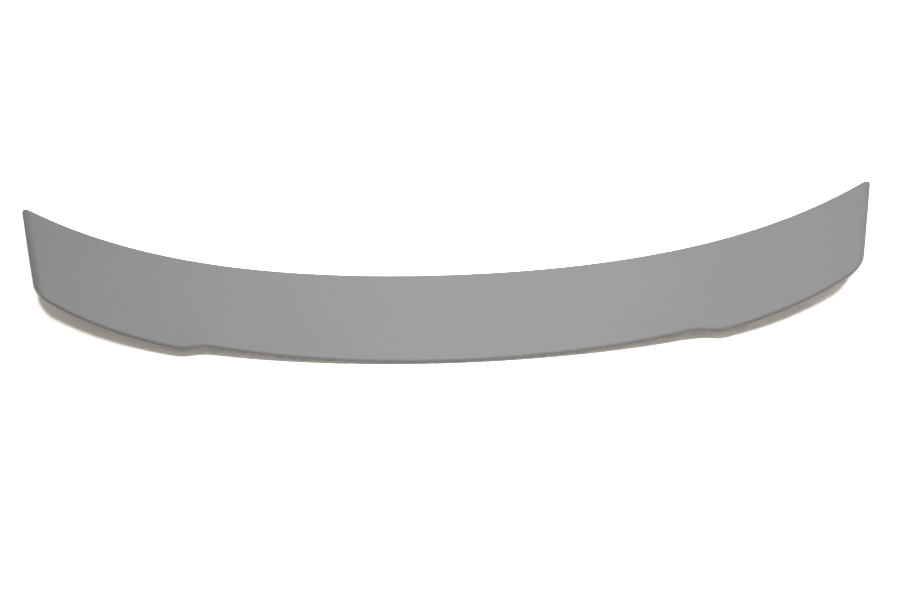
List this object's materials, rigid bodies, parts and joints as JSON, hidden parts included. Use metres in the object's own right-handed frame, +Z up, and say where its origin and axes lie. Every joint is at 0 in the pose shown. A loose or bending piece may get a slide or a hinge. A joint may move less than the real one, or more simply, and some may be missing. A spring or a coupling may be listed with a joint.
{
  "type": "car spoiler",
  "caption": "Thin bowed car spoiler blade with pointed front corners, rounded rear corners and a stepped rear edge, bonded along its front land.",
  "frame": {"origin": "centre of the bounding box in plan, at the level the middle of the blade rests on", "axes": "+X across the car to the right, +Y towards the front of the car (the pointed corners), +Z up through the finished face"},
  "size_m": [1.1562, 0.2654, 0.0359],
  "materials": {
    "grey_primer": "matte grey primer, unpainted"
  },
  "bodies": {
    "root": {"spoiler_blade": "grey_primer"}
  },
  "joints": []
}
